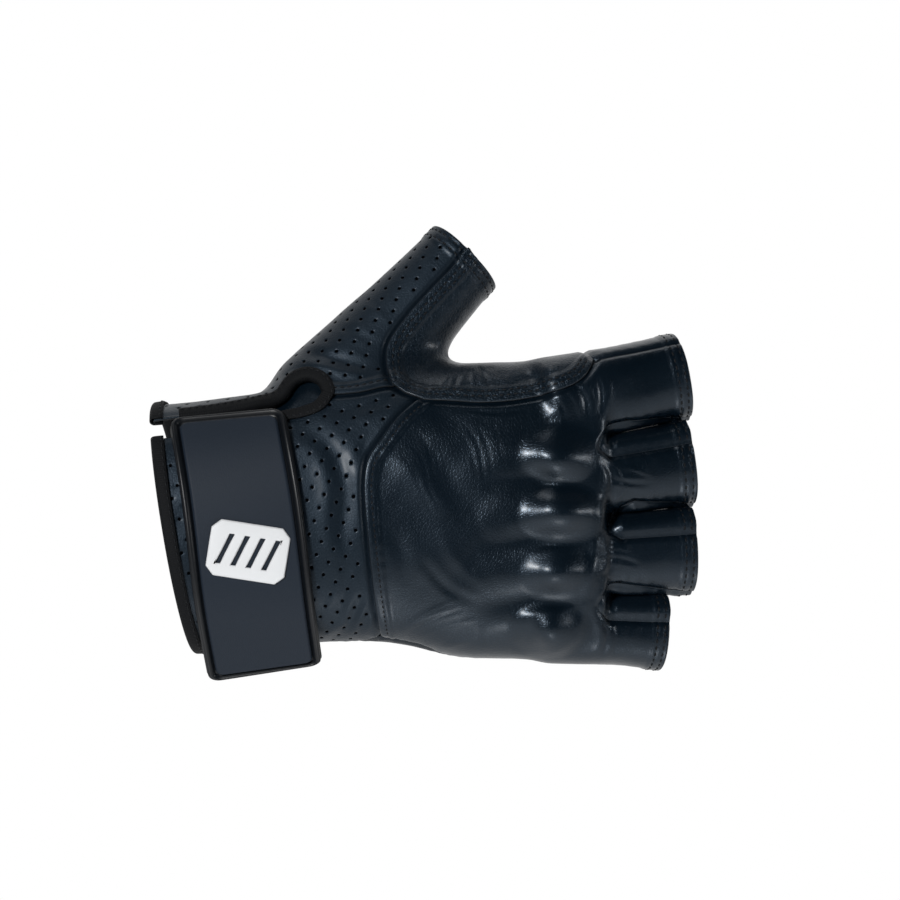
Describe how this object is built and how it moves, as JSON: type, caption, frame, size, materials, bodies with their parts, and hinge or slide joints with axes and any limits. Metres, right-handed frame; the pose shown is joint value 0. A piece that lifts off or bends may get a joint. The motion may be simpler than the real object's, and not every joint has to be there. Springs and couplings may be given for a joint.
{
  "type": "fingerless motorcycle glove",
  "caption": "Short fingerless leather motorcycle glove for the right hand, with knuckle domes, perforated wrist and thumb leather and a hook-and-loop wrist strap.",
  "frame": {"origin": "middle of the wrist opening", "axes": "+X along the hand towards the fingertips, +Z towards the thumb side, -Y out of the back of the hand"},
  "size_m": [0.1709, 0.0564, 0.1423],
  "materials": {
    "smooth_leather": "smooth aniline leather, satin",
    "palm_leather": "plain leather, matte",
    "perforated_leather": "perforated leather, satin",
    "binding_tape": "woven edge tape",
    "strap_rubber": "moulded, satin",
    "strap_field": "moulded, matte",
    "badge_print": "matte"
  },
  "bodies": {
    "root": {"back_panel": "smooth_leather", "palm_panel": "palm_leather", "wrist_back_panel": "perforated_leather", "thumb_back_panel": "perforated_leather", "thumb_web_panel": "smooth_leather", "thumb_palm_panel": "palm_leather", "index_side_strip": "smooth_leather", "fourchette_index_middle": "smooth_leather", "fourchette_middle_ring": "smooth_leather", "fourchette_ring_little": "smooth_leather", "cuff_binding": "binding_tape", "slit_binding": "binding_tape", "slit_gusset": "smooth_leather", "strap_band": "strap_rubber", "strap_patch": "strap_field", "strap_badge": "badge_print"}
  },
  "joints": []
}
